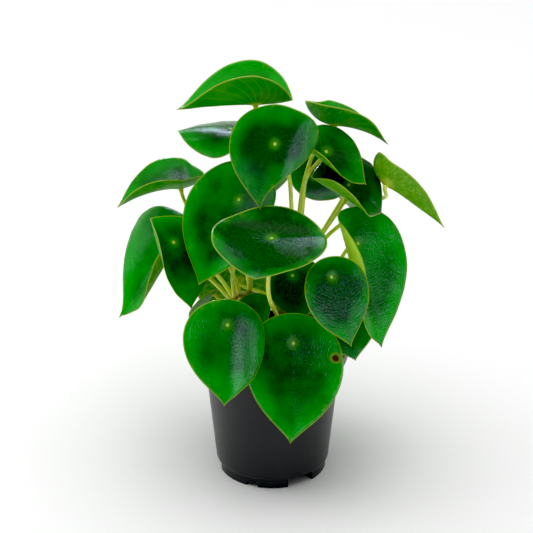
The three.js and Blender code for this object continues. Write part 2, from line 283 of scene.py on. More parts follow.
def strewn_grains(name, dark, light, grain_size, depth, roughness):
    """Dry loose grains, broken and porous: a mottled dull colour with pits of about the grain size."""
    material, tree = new_material(name)
    place = add_node(tree, "TexCoord").outputs["Object"]
    pits = add_node(tree, "TexNoise", {"Vector": place, "Scale": 1 / grain_size, "Detail": 5.0, "Roughness": 0.68})
    tint = add_node(tree, "Mix", {0: pits, 6: linear(dark), 7: linear(light)}, **COLOURS)
    bump = add_node(tree, "Bump", {"Height": pits, "Strength": 0.65, "Distance": depth})
    grains = {"Base Color": tint, "Roughness": roughness, "Normal": bump}
    add_node(tree, "OutputMaterial", {"Surface": add_node(tree, "BsdfPrincipled", grains)})
    return material


# A healed bite near the margin of one leaf, in that leaf's flat coordinates.
SCAR = (9.0, 29.5, 289.0)


def waxy_upper_face(deep, fresh_and_lit_green):
    """The upper face of a living leaf: a glossy wax over dark green, finely wrinkled across its veins."""
    material, tree = new_material("waxy_leaf_upper_face")
    flat = add_node(tree, "Attribute", attribute_name="flat").outputs["Vector"]
    drift = add_node(tree, "Attribute", attribute_name="drift").outputs["Vector"]
    rim, pole, tone, count, gap = (
        add_node(tree, "Attribute", attribute_name=name).outputs["Fac"]
        for name in ("rim", "pole", "tone", "vein", "vein_gap")
    )
    cloud = add_node(tree, "TexNoise", {"Vector": flat, "Scale": 0.04, "Detail": 3.0})
    cells = add_node(tree, "TexNoise", {"Vector": flat, "Scale": 0.9, "Detail": 3.0, "Roughness": 0.6})
    patch = add_node(tree, "TexNoise", {"Vector": flat, "Scale": 0.16, "Detail": 4.0, "Roughness": 0.6})

    # Green: deep in the middle and brighter towards the margin. The brighter margin is a painted glow for light
    # shining through the thin blade. The green is varied by soft clouds and by each leaf's tone, which holds painted
    # light and shade as well as the leaf's own green.
    outer = add_node(tree, "MapRange", {"Value": rim, "From Min": 17.0, "From Max": 1.0, "To Max": 0.62}, **SMOOTH)
    drawn = add_node(
        tree, "MapRange", {"Value": cloud, "From Min": 0.3, "From Max": 0.7, "To Min": -0.3, "To Max": 0.34}
    )
    # The share of the fresher green: the painted glow towards the margin, plus each leaf's tone and the clouds.
    age_and_glow = add_node(tree, "Math", {0: outer, 1: tone}, operation="ADD")
    age_and_glow = add_node(tree, "Math", {0: age_and_glow, 1: drawn}, operation="ADD", use_clamp=True)
    green = add_node(tree, "Mix", {0: age_and_glow, 6: list(deep), 7: list(fresh_and_lit_green)}, **COLOURS)
    dots = add_node(tree, "MapRange", {"Value": cells, "From Min": 0.45, "From Max": 0.65, "To Max": 0.14}, **SMOOTH)
    green = add_node(tree, "Mix", {0: dots, 6: green, 7: linear("#1c9a14")}, **COLOURS)

    # Veins, about 0.8 mm wide, that fade within 28 mm of the petiole.
    beside = add_node(tree, "Math", {0: count, 1: 0.5}, operation="PINGPONG")
    beside = add_node(tree, "Math", {0: beside, 1: gap}, operation="MULTIPLY")
    line = add_node(tree, "MapRange", {"Value": beside, "From Min": 0.4, "From Max": 0.0}, **SMOOTH)
    fade = add_node(tree, "MapRange", {"Value": pole, "From Min": 26.0, "From Max": 2.0, "To Max": 0.16}, **SMOOTH)
    vein = add_node(tree, "Math", {0: line, 1: fade}, operation="MULTIPLY")
    green = add_node(tree, "Mix", {0: vein, 6: green, 7: linear("#46b42c")}, **COLOURS)

    # Yellowed patches near the margin, the fine pale margin line, and the pale spot over the petiole.
    near = add_node(tree, "MapRange", {"Value": rim, "From Min": 6.0, "From Max": 0.5, "To Max": 0.3}, **SMOOTH)
    blotch = add_node(tree, "MapRange", {"Value": patch, "From Min": 0.54, "From Max": 0.68}, **SMOOTH)
    flush = add_node(tree, "Math", {0: near, 1: blotch}, operation="MULTIPLY")
    green = add_node(tree, "Mix", {0: flush, 6: green, 7: linear("#7d9a14")}, **COLOURS)
    edge = add_node(tree, "MapRange", {"Value": rim, "From Min": 0.85, "From Max": 0.35, "To Max": 0.8}, **SMOOTH)
    green = add_node(tree, "Mix", {0: edge, 6: green, 7: linear("#9bb52e")}, **COLOURS)
    glow = add_node(tree, "MapRange", {"Value": pole, "From Min": 6.5, "From Max": 1.4, "To Max": 0.4}, **SMOOTH)
    green = add_node(tree, "Mix", {0: glow, 6: green, 7: linear("#4fae18")}, **COLOURS)
    spot = add_node(tree, "MapRange", {"Value": pole, "From Min": 1.5, "From Max": 0.8, "To Max": 0.9}, **SMOOTH)
    green = add_node(tree, "Mix", {0: spot, 6: green, 7: linear("#c6dc58")}, **COLOURS)

    # The healed bite: a brown crust with a yellowed ring.
    away = add_node(tree, "VectorMath", {0: flat, 1: SCAR}, operation="DISTANCE").outputs["Value"]
    ragged = add_node(tree, "Math", {0: patch, 1: 4.0, 2: away}, operation="MULTIPLY_ADD")
    ring = add_node(tree, "MapRange", {"Value": ragged, "From Min": 7.0, "From Max": 4.6, "To Max": 0.6}, **SMOOTH)
    crust = add_node(tree, "MapRange", {"Value": ragged, "From Min": 4.7, "From Max": 3.9}, **SMOOTH)
    green = add_node(tree, "Mix", {0: ring, 6: green, 7: linear("#9a9a22")}, **COLOURS)
    green = add_node(tree, "Mix", {0: crust, 6: green, 7: linear("#4a2a10")}, **COLOURS)

    # Fine wrinkles lie across the veins, about 1.2 mm apart.
    across = add_node(tree, "CombineXYZ", {"X": pole})
    across = add_node(tree, "VectorMath", {0: across, 1: drift}, operation="ADD")
    folds = {"Vector": across, "Scale": 0.85, "Detail": 3.0, "Roughness": 0.6, "Distortion": 0.5}
    wrinkles = add_node(tree, "TexNoise", folds)
    height = add_node(tree, "Math", {0: wrinkles, 1: 2.0, 2: cells}, operation="MULTIPLY_ADD")
    bump = add_node(tree, "Bump", {"Height": height, "Strength": 1.0, "Distance": 0.15 * MM})
    satin = {"Value": cloud, "From Min": 0.3, "From Max": 0.7, "To Min": 0.13, "To Max": 0.22}
    rough = add_node(tree, "MapRange", satin)
    wax = {"Base Color": green, "Roughness": rough, "Normal": bump, "IOR": 1.42}
    add_node(tree, "OutputMaterial", {"Surface": add_node(tree, "BsdfPrincipled", wax)})
    return material


def matte_underside(colour):
    """The underside of a living leaf: paler and matte, with yellowish mottling and barely raised veins."""
    material, tree = new_material("matte_leaf_underside")
    flat = add_node(tree, "Attribute", attribute_name="flat").outputs["Vector"]
    rim, pole, tone, count, gap = (
        add_node(tree, "Attribute", attribute_name=name).outputs["Fac"]
        for name in ("rim", "pole", "under_tone", "vein", "vein_gap")
    )
    cloud = add_node(tree, "TexNoise", {"Vector": flat, "Scale": 0.06, "Detail": 3.0})
    mottle = add_node(tree, "TexNoise", {"Vector": flat, "Scale": 0.35, "Detail": 5.0, "Roughness": 0.7})
    shade = add_node(tree, "MapRange", {"Value": cloud, "From Min": 0.35, "From Max": 0.65}, **SMOOTH)
    green = add_node(tree, "Mix", {0: shade, 6: list(colour), 7: linear("#1f8f0c")}, **COLOURS)
    # The pale mottling is raised by each underside's tone, which is partly painted light shining through the blade.
    pale = add_node(tree, "MapRange", {"Value": mottle, "From Min": 0.45, "From Max": 0.7, "To Max": 0.35}, **SMOOTH)
    pale = add_node(tree, "Math", {0: pale, 1: tone}, operation="ADD", use_clamp=True)
    green = add_node(tree, "Mix", {0: pale, 6: green, 7: linear("#b4e046")}, **COLOURS)
    beside = add_node(tree, "Math", {0: count, 1: 0.5}, operation="PINGPONG")
    beside = add_node(tree, "Math", {0: beside, 1: gap}, operation="MULTIPLY")
    vein = add_node(tree, "MapRange", {"Value": beside, "From Min": 0.9, "From Max": 0.0, "To Max": 0.14}, **SMOOTH)
    green = add_node(tree, "Mix", {0: vein, 6: green, 7: linear("#b4d864")}, **COLOURS)
    stalk_end = add_node(tree, "MapRange", {"Value": pole, "From Min": 7.0, "From Max": 2.0, "To Max": 0.8}, **SMOOTH)
    green = add_node(tree, "Mix", {0: stalk_end, 6: green, 7: linear("#b9d245")}, **COLOURS)
    edge = add_node(tree, "MapRange", {"Value": rim, "From Min": 1.2, "From Max": 0.4, "To Max": 0.8}, **SMOOTH)
    green = add_node(tree, "Mix", {0: edge, 6: green, 7: linear("#a9c23a")}, **COLOURS)
    height = add_node(tree, "Math", {0: vein, 1: 3.0, 2: mottle}, operation="MULTIPLY_ADD")
    bump = add_node(tree, "Bump", {"Height": height, "Strength": 0.45, "Distance": 0.14 * MM})
    rough = add_node(tree, "MapRange", {"Value": mottle, "To Min": 0.4, "To Max": 0.58})
    skin = {"Base Color": green, "Roughness": rough, "Normal": bump, "IOR": 1.4}
    add_node(tree, "OutputMaterial", {"Surface": add_node(tree, "BsdfPrincipled", skin)})
    return material


def translucent_margin():
    """The margin of a leaf: a thin yellow-green rim where the blade thins out, browned in places."""
    material, tree = new_material("translucent_leaf_margin")
    flat = add_node(tree, "Attribute", attribute_name="flat").outputs["Vector"]
    patch = add_node(tree, "TexNoise", {"Vector": flat, "Scale": 0.12, "Detail": 5.0, "Roughness": 0.7})
    shade = add_node(tree, "TexNoise", {"Vector": flat, "Scale": 0.3, "Detail": 3.0})
    rust = add_node(tree, "MapRange", {"Value": patch, "From Min": 0.63, "From Max": 0.72, "To Max": 0.6}, **SMOOTH)
    tint = add_node(tree, "Mix", {0: shade, 6: linear("#7fa81c"), 7: linear("#b9cc4a")}, **COLOURS)
    tint = add_node(tree, "Mix", {0: rust, 6: tint, 7: linear("#8a5a1e")}, **COLOURS)
    rim = {"Base Color": tint, "Roughness": 0.4, "IOR": 1.4}
    add_node(tree, "OutputMaterial", {"Surface": add_node(tree, "BsdfPrincipled", rim)})
    return material


def fleshy_stalk(name, base, light, node_tint):
    """Living stalk tissue: moist, half translucent, with fine stripes along it and darker stained joints."""
    material, tree = new_material(name)
    skin = add_node(tree, "Attribute", attribute_name="skin").outputs["Vector"]
    along, joint = (add_node(tree, "Attribute", attribute_name=key).outputs["Fac"] for key in ("along", "joint"))
    place = add_node(tree, "TexCoord").outputs["Object"]
    stretch = add_node(tree, "Mapping", {"Vector": skin, "Scale": (1.0, 1.0, 0.1)})
    stripes = add_node(tree, "TexNoise", {"Vector": stretch, "Scale": 2.6, "Detail": 4.0, "Roughness": 0.6})
    fleck = add_node(tree, "TexNoise", {"Vector": place, "Scale": 1 / (2.2 * MM), "Detail": 4.0, "Roughness": 0.65})
    share = add_node(tree, "MapRange", {"Value": stripes, "From Min": 0.35, "From Max": 0.65}, **SMOOTH)
    foot = add_node(tree, "MapRange", {"Value": along, "From Min": 0.22, "From Max": 0.0, "To Max": 0.4}, **SMOOTH)
    spots = add_node(tree, "MapRange", {"Value": fleck, "From Min": 0.58, "From Max": 0.7, "To Max": 0.18}, **SMOOTH)
    tint = add_node(tree, "Mix", {0: share, 6: linear(base), 7: linear(light)}, **COLOURS)
    tint = add_node(tree, "Mix", {0: foot, 6: tint, 7: linear(node_tint)}, **COLOURS)
    tint = add_node(tree, "Mix", {0: spots, 6: tint, 7: linear(node_tint)}, **COLOURS)
    tint = add_node(tree, "Mix", {0: joint, 6: tint, 7: linear("#8a4f1a")}, **COLOURS)
    rough = add_node(tree, "MapRange", {"Value": fleck, "To Min": 0.26, "To Max": 0.44})
    bump = add_node(tree, "Bump", {"Height": stripes, "Strength": 0.35, "Distance": 0.2 * MM})
    flesh = {
        "Base Color": tint, "Roughness": rough, "Normal": bump, "IOR": 1.42, "Subsurface Weight": 0.15,
        "Subsurface Radius": (1.0 * MM, 1.2 * MM, 0.3 * MM), "Subsurface Scale": 1.0,
    }
    add_node(tree, "OutputMaterial", {"Surface": add_node(tree, "BsdfPrincipled", flesh)})
    return material


# ------------------------------------------------------------------ the pot


# Directions of the three notches between the feet, and the width of a notch, in degrees.
NOTCHES = (-88, 32, 152)
NOTCH_WIDTH = 30
# Each foot has a shallow slot in its underside: where it lies past the notch, half its width, and its depth.
SLOT_PAST_NOTCH = 67
SLOT_HALF_WIDTH = 6
SLOT_DEPTH = 2.2 * MM
# The foot ring, the tapered wall and the lip.
FOOT_HEIGHT = 7.7 * MM
FOOT_OUTER, FOOT_INNER = 39.2 * MM, 35.8 * MM
WALL_TOP, WALL_FOOT = 49.3 * MM, 41.2 * MM
LIP_HEIGHT = 9 * MM
POT_FLOOR = 1.8 * MM
# The profile starts a little to one side, so that no face's middle lies on the edge of a notch.
PROFILE_TURN = math.radians(2)


def rounded(corners, steps=4):
    """A profile of (radius, z, rounding) corners with each corner rounded by its own size."""
    outline = []
    for k, (radius, z, size) in enumerate(corners):
        here = Vector((radius, z))
        if size == 0:
            outline.append(here)
            continue
        before = (Vector(corners[k - 1][:2]) - here).normalized() * size + here
        after = (Vector(corners[k + 1][:2]) - here).normalized() * size + here
        for step in range(steps + 1):
            t = step / steps
            outline.append(before * (1 - t) ** 2 + here * 2 * t * (1 - t) + after * t**2)
    return outline


class PEPEROMIA_OT_pot(bpy.types.Operator):
    """Build the black nursery pot with its lip, tapered wall and notched foot"""

    bl_idname = "peperomia.pot"
    bl_label = "Nursery Pot"

    def execute(self, context):
        """Turn the pot's profile about its axis and pull its feet down."""
        settings = context.scene.peperomia_pot
        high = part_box("nursery_pot")[1]
        lip, top = high.x, high.z
        wall = settings.wall
        under_lip = top - LIP_HEIGHT
        profile = rounded(
            [
                (0, FOOT_HEIGHT, 0),
                (FOOT_INNER, FOOT_HEIGHT, 0),
                (FOOT_OUTER, FOOT_HEIGHT, 0),
                (WALL_FOOT - 0.5 * MM, FOOT_HEIGHT, 0.5 * MM),
                (WALL_FOOT, FOOT_HEIGHT + 1.2 * MM, 0.6 * MM),
                (WALL_TOP, under_lip - 0.6 * MM, 0.5 * MM),
                (lip - 0.9 * MM, under_lip, 0.6 * MM),
                (lip, top - 1.2 * MM, 0.4 * MM),
                (lip - 0.5 * MM, top, 0.5 * MM),
                (lip - 2.3 * MM, top, 0.6 * MM),
                (lip - 3.0 * MM, under_lip + 1.6 * MM, 0.7 * MM),
                (WALL_TOP - wall, under_lip - 0.9 * MM, 0.6 * MM),
                (WALL_FOOT - wall, FOOT_HEIGHT + POT_FLOOR, 0.8 * MM),
                (0, FOOT_HEIGHT + POT_FLOOR, 0),
            ]
        )
        turn = Matrix.Rotation(PROFILE_TURN, 3, "Z")
        mesh = turned([turn @ Vector((p.x, 0, p.y)) for p in profile], settings.sides, MERGE)
        bmesh.ops.recalc_face_normals(mesh, faces=mesh.faces)

        # Feet: the flat ring under the wall is pulled down between the notches.
        def heading_of(face):
            centre = face.calc_center_median()
            return math.degrees(math.atan2(centre.x, -centre.y))

        def near(face, headings, half_width):
            heading = heading_of(face)
            return any(abs((heading - other + 180) % 360 - 180) < half_width for other in headings)

        def under_foot(face):
            centre = face.calc_center_median()
            radius = math.hypot(centre.x, centre.y)
            level = face.normal.z < -0.9 and centre.z < FOOT_HEIGHT + MERGE
            return FOOT_INNER < radius < FOOT_OUTER and level

        slots = [notch + SLOT_PAST_NOTCH for notch in NOTCHES]
        feet = [face for face in mesh.faces if under_foot(face) and not near(face, NOTCHES, NOTCH_WIDTH / 2)]
        for depth, slotted in ((FOOT_HEIGHT - SLOT_DEPTH, False), (SLOT_DEPTH, True)):
            feet = [face for face in feet if not (slotted and near(face, slots, SLOT_HALF_WIDTH))]
            pulled = bmesh.ops.extrude_face_region(mesh, geom=feet)["geom"]
            bmesh.ops.delete(mesh, geom=feet, context="FACES_KEEP_BOUNDARY")
            moved = [part for part in pulled if isinstance(part, bmesh.types.BMVert)]
            bmesh.ops.translate(mesh, verts=moved, vec=(0, 0, -depth))
            feet = [part for part in pulled if isinstance(part, bmesh.types.BMFace)]
        bmesh.ops.recalc_face_normals(mesh, faces=mesh.faces)
        piece = add_piece(
            "pot_shell", mesh, [moulded_polypropylene(settings.colour)], ["nursery_pot"]
        )
        bevel = piece.modifiers.new("Soft edges", "BEVEL")
        bevel.width = 0.35 * MM
        bevel.segments = 2
        bevel.limit_method = "ANGLE"
        bevel.angle_limit = math.radians(50)
        bevel.harden_normals = True
        return {"FINISHED"}


# ------------------------------------------------------------------ the soil


# Steps of the soil's surface outwards and round, and the plug's foot as a share of its top.
SOIL_RINGS = 30
SOIL_SPOKES = 96
SOIL_FOOT_SHARE = 0.86
# The three kinds of loose grain (peat, bark, perlite): their shares, sizes in millimetres and proportions.
GRAIN_SHARES = (0.62, 0.26, 0.12)
GRAIN_SIZES = ((0.8, 2.0), (1.2, 3.2), (0.8, 1.7))
GRAIN_STRETCH = ((1, 1, 0.8), (1.5, 0.8, 0.35), (1, 1, 0.9))
GRAIN_LEAN = 0.6


class PEPEROMIA_OT_soil(bpy.types.Operator):
    """Build the potting mix with its lumps and the loose crumbs, bark and perlite on it"""

    bl_idname = "peperomia.soil"
    bl_label = "Potting Mix"

    def execute(self, context):
        """Turn a plug, raise its lumps and strew crumbs over it."""
        settings = context.scene.peperomia_soil
        low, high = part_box("soil")
        radius = high.x
        draw = np.random.default_rng(7)

        def level(x, y):
            lumps = noise.fractal(Vector((x, y, 0)) / (9 * MM), 0.6, 2.0, 4)
            drop = max(0.0, math.hypot(x, y) / radius - 0.75) * 9 * MM
            return high.z - 0.8 * MM + settings.relief * lumps - drop

        profile = [(radius * k / SOIL_RINGS, 0, high.z) for k in range(SOIL_RINGS + 1)]
        profile += [(radius * SOIL_FOOT_SHARE, 0, low.z), (0, 0, low.z)]
        mesh = turned(profile, SOIL_SPOKES, MERGE)
        bmesh.ops.recalc_face_normals(mesh, faces=mesh.faces)
        for vert in mesh.verts:
            if vert.co.z > high.z - MM:
                vert.co.z = level(vert.co.x, vert.co.y)
        add_piece("soil_plug", mesh, [moist_peat()], ["soil"])

        kinds_of_crumb = [
            moist_peat(),
            strewn_grains("composted_pine_bark", "#2a1a10", "#7a5234", 1.4 * MM, 0.5 * MM, 0.85),
            strewn_grains("expanded_perlite", "#8f8577", "#e9e6dd", 0.8 * MM, 0.4 * MM, 0.8),
        ]
        crumbs = bmesh.new()
        kinds = draw.choice(len(GRAIN_SHARES), settings.crumbs, p=GRAIN_SHARES)
        for kind in kinds:
            distance = radius * 0.97 * math.sqrt(draw.random())
            heading = math.tau * draw.random()
            x, y = distance * math.cos(heading), distance * math.sin(heading)
            size = [draw.uniform(*limits) for limits in GRAIN_SIZES][kind] * MM
            made = bmesh.ops.create_icosphere(crumbs, subdivisions=1, radius=size)["verts"]
            spin = Matrix.Rotation(draw.uniform(0, math.tau), 4, Vector(draw.normal(size=3)).normalized())
            lean = Matrix.Rotation(draw.uniform(-GRAIN_LEAN, GRAIN_LEAN), 4, "X")
            tilt = lean @ Matrix.Rotation(draw.uniform(0, math.tau), 4, "Z")
            squash = Matrix.Diagonal((*GRAIN_STRETCH[kind], 1))
            for vert in made:
                jitter = 1 + 0.35 * noise.noise(vert.co / size * 1.3 + Vector((x, y, 0)) * 900)
                vert.co = tilt @ squash @ spin @ (vert.co * jitter)
                vert.co += Vector((x, y, level(x, y) + size * 0.25))
            for face in {face for vert in made for face in vert.link_faces}:
                face.material_index = int(kind)
        add_piece("soil_crumbs", crumbs, kinds_of_crumb, [], smooth=False)
        return {"FINISHED"}


# ------------------------------------------------------------------ stems and petioles


def sections_of(node, sides, start):
    """The centres of a CAD bar's cross-sections, from the end that is nearest to start to the other end."""
    mesh = merged_copy(node)
    layer = sorted(mesh.verts, key=lambda vert: (vert.co - start).length)[:sides]
    seen = set(layer)
    centres = []
    while layer:
        centres.append(sum((vert.co for vert in layer), Vector()) / len(layer))
        layer = [v for v in {e.other_vert(vert) for vert in layer for e in vert.link_edges} if v not in seen]
        seen.update(layer)
    mesh.free()
    return np.array([tuple(centre) for centre in centres])


def sweep(points, radii, sides, joints=()):
    """A round bar along points: a circle is extruded from point to point and closed at both ends."""
    mesh = bmesh.new()
    skin = mesh.verts.layers.float_vector.new("skin")
    along = mesh.verts.layers.float.new("along")
    stain = mesh.verts.layers.float.new("joint")
    distance = travelled(points)
    directions = np.gradient(points, axis=0)
    side = Vector(directions[0]).orthogonal().normalized()
    ring = bmesh.ops.create_circle(mesh, cap_ends=True, radius=1.0, segments=sides)["verts"]
    order = list(ring)
    edges = list(mesh.edges)
    for k, point in enumerate(points):
        if k:
            pulled = bmesh.ops.extrude_edge_only(mesh, edges=edges)["geom"]
            new = [part for part in pulled if isinstance(part, bmesh.types.BMVert)]
            edges = [part for part in pulled if isinstance(part, bmesh.types.BMEdge)]
            partner = {}
            for vert in new:
                for edge in vert.link_edges:
                    other = edge.other_vert(vert)
                    if other in order:
                        partner[other] = vert
            order = [partner[vert] for vert in order]
        forward = Vector(directions[k]).normalized()
        side = (side - forward * side.dot(forward)).normalized()
        up = forward.cross(side)
        for number, vert in enumerate(order):
            turn = math.tau * number / sides
            reach = side * math.cos(turn) + up * math.sin(turn)
            vert.co = Vector(point) + reach * float(radii[k])
            vert[skin] = (math.cos(turn), math.sin(turn), distance[k] / MM)
            vert[along] = distance[k] / distance[-1]
            vert[stain] = max([0.0] + [1 - abs(distance[k] - joint) / (1.6 * MM) for joint in joints])
    bmesh.ops.contextual_create(mesh, geom=edges)
    bmesh.ops.recalc_face_normals(mesh, faces=mesh.faces)
    return mesh


# A stem narrows to its crown. Its swollen joints start at a share of its length and then stand evenly.
STEM_RADIUS = 4.6 * MM
STEM_TAPER = 0.22
FIRST_JOINT = 0.38
JOINT_SPACING = 9.5 * MM
JOINT_SWELLING = 0.55 * MM
JOINT_REACH = 1.5 * MM
# How far below the dimple a petiole ends inside its blade.
STALK_END_DEPTH = 0.4 * MM


class PEPEROMIA_OT_stems(bpy.types.Operator):
    """Build the short thick main stems with their swollen joints"""

    bl_idname = "peperomia.stems"
    bl_label = "Stems"

    def execute(self, context):
        """Follow each CAD stem from the soil to its crown, with a swelling at each joint."""
        material = fleshy_stalk("fleshy_stem", "#8fa824", "#c8d548", "#a8862e")
        for name in STEM_NAMES:
            low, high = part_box(name)
            above = Vector(((low.x + high.x) / 2, (low.y + high.y) / 2, high.z))
            centres = sections_of(name, STEM_SIDES, above)[::-1]
            stops = travelled(centres)
            at = np.linspace(0, stops[-1], 48)
            points = spline(stops, centres, at)
            joints = np.arange(stops[-1] * FIRST_JOINT, stops[-1], JOINT_SPACING)
            radii = STEM_RADIUS * (1.0 - STEM_TAPER * at / stops[-1])
            for joint in joints:
                radii = radii + JOINT_SWELLING * np.exp(-(((at - joint) / JOINT_REACH) ** 2))
            radii = radii * np.clip((stops[-1] - at) / (3.5 * MM) + 0.35, 0, 1) ** 0.5
            add_piece("shoot_" + name[5:], sweep(points, radii, 24, joints), [material], [name])
        return {"FINISHED"}


class PEPEROMIA_OT_petioles(bpy.types.Operator):
    """Build a fleshy petiole for each leaf"""

    bl_idname = "peperomia.petioles"
    bl_label = "Petioles"

    def execute(self, context):
        """Follow each CAD petiole, thick at the stem and flared where it meets its blade."""
        settings = context.scene.peperomia_stalks
        material = fleshy_stalk("fleshy_petiole", "#d4ea3c", "#f4f880", "#d9bc58")
        for number in LEAF_NUMBERS:
            blade = read_blade(number)
            centres = sections_of("petiole_" + number, PETIOLE_SIDES, Vector(blade["under_pole"]))[::-1]
            inside = blade["pole"] - blade["up"] * (DIMPLE + STALK_END_DEPTH)
            centres = np.vstack([centres, inside])
            stops = travelled(centres)
            at = np.linspace(0, stops[-1], settings.steps)
            points = spline(stops, centres, at)
            share = at / stops[-1]
            radii = settings.petiole_radius * (1.12 - 0.2 * share)
            radii = radii + 0.9 * MM * np.exp(-at / (2.5 * MM)) + 0.7 * MM * np.exp(-(stops[-1] - at) / (1.8 * MM))
            mesh = sweep(points, radii, settings.sides, [0.0])
            add_piece("stalk_" + number, mesh, [material], ["petiole_" + number])
        return {"FINISHED"}


# ------------------------------------------------------------------ the leaves


def read_blade(number):
    """The CAD blade as rings of points about the place where its petiole meets it, spoke 0 at the tip."""
    mesh = merged_copy("blade_" + number)
    stalk = merged_copy("petiole_" + number)
    poles = [vert for vert in mesh.verts if len(vert.link_edges) == CAD_SPOKES]
    if len(poles) != 2:
        raise RuntimeError(f"blade_{number} has {len(poles)} poles, not an upper and an under one")
    near = [min((vert.co - pole.co).length for vert in stalk.verts) for pole in poles]
    upper, under = (poles[0], poles[1]) if near[0] > near[1] else (poles[1], poles[0])

    def next_round(vert):
        """The neighbour of vert that follows it round the upper pole."""
        for face in upper.link_faces:
            corners = list(face.verts)
            k = corners.index(upper)
            if corners[(k + 1) % 3] is vert:
                return corners[(k + 2) % 3]
        raise RuntimeError(f"blade_{number} is not closed round its pole")

    ring = [upper.link_edges[0].other_vert(upper)]
    while len(ring) < CAD_SPOKES:
        ring.append(next_round(ring[-1]))
    rings = [ring]
    seen = {upper, *ring}
    for _ in range(CAD_RINGS - 1):
        outer = [{e.other_vert(vert) for e in vert.link_edges} - seen for vert in rings[-1]]
        following = outer[1:] + outer[:1]
        rings.append([(here - after).pop() for here, after in zip(outer, following)])
        seen.update(rings[-1])
    margin = np.array([tuple(vert.co) for vert in rings[-1]])
    ahead = np.roll(margin, -1, axis=0) - margin
    ahead /= np.linalg.norm(ahead, axis=1)[:, None]
    tip = int(np.argmin(np.sum(ahead * np.roll(ahead, 1, axis=0), axis=1)))
    grid = np.array([[tuple(ring[(tip + k) % CAD_SPOKES].co) for k in range(CAD_SPOKES)] for ring in rings])
    result = {
        "pole": np.array(tuple(upper.co)),
        "under_pole": np.array(tuple(under.co)),
        "grid": grid,
    }
    up = result["pole"] - result["under_pole"]
    result["up"] = up / np.linalg.norm(up)
    mesh.free()
    stalk.free()
    return result


def fine_blade(blade, spokes, rings):
    """A smooth grid [ring, spoke] through the CAD blade's rings, with each spoke's turn and length.

    The spokes stand closer together towards the tip, so that it stays sharp.
    """
    even = np.linspace(0, math.tau, spokes, endpoint=False)
    turns = even - 0.6 * np.sin(even)
    first = blade["grid"][0] - blade["pole"]
    ahead = first[0] - blade["up"] * first[0].dot(blade["up"])
    ahead /= np.linalg.norm(ahead)
    left = np.cross(blade["up"], ahead)
    cad_turns = np.mod(np.arctan2(first @ left, first @ ahead), math.tau)
    cad_turns[0] = 0.0
    cad_turns = np.append(cad_turns, math.tau)
    stops = np.arange(CAD_SPOKES + 1)
    closed = np.concatenate([blade["grid"], blade["grid"][:, :1]], axis=1)

    def rows_at(angles):
        at = np.interp(angles, cad_turns, stops)
        return np.array([spline(stops, row, at) for row in closed])

    rows = rows_at(turns)
    opposite = rows_at(np.mod(turns + math.pi, math.tau))
    grid = np.zeros((rings + 1, spokes, 3))
    lengths = np.zeros(spokes)
    for k in range(spokes):
        through = np.vstack([opposite[::-1, k], blade["pole"], rows[:, k]])
        distance = travelled(through)
        distance = distance - distance[CAD_RINGS]
        lengths[k] = distance[-1]
        grid[:, k] = spline(distance, through, np.linspace(0, distance[-1], rings + 1))
    return grid, turns, lengths


# How much lighter (above 0) or deeper green each leaf's upper face is than the others. This is partly each leaf's own
# green and partly painted light and shade: brighter where a leaf faces the light, darker where it lies in shade.
TONES_AND_PAINTED_LIGHT = {
    "01": 0.45, "02": 0.3, "03": -0.1, "04": 0.1, "05": 0.6, "06": 0.2, "07": 0.15, "08": -0.35,
    "09": 0.2, "10": -0.05, "11": -0.1, "12": -0.25, "13": 0.3, "14": 0.5, "15": -0.12, "16": -0.3,
    "17": 0.15, "18": 0.2, "19": -0.05, "20": 0.1,
}
# Undersides that are paler (above 0) or greener than the others. This is partly the undersides' own colour and partly
# painted light shining through the blade, most of all on leaf 14.
UNDER_TONES_AND_PAINTED_GLOW = {
    "01": -0.25, "02": -0.1, "05": 0.15, "09": -0.1, "12": 0.1, "13": 0.2, "14": 0.9,
}
PRIMARY_VEINS = 15
# Merge distance on the disc of radius 1 that becomes a blade.
SEAM = 5e-4


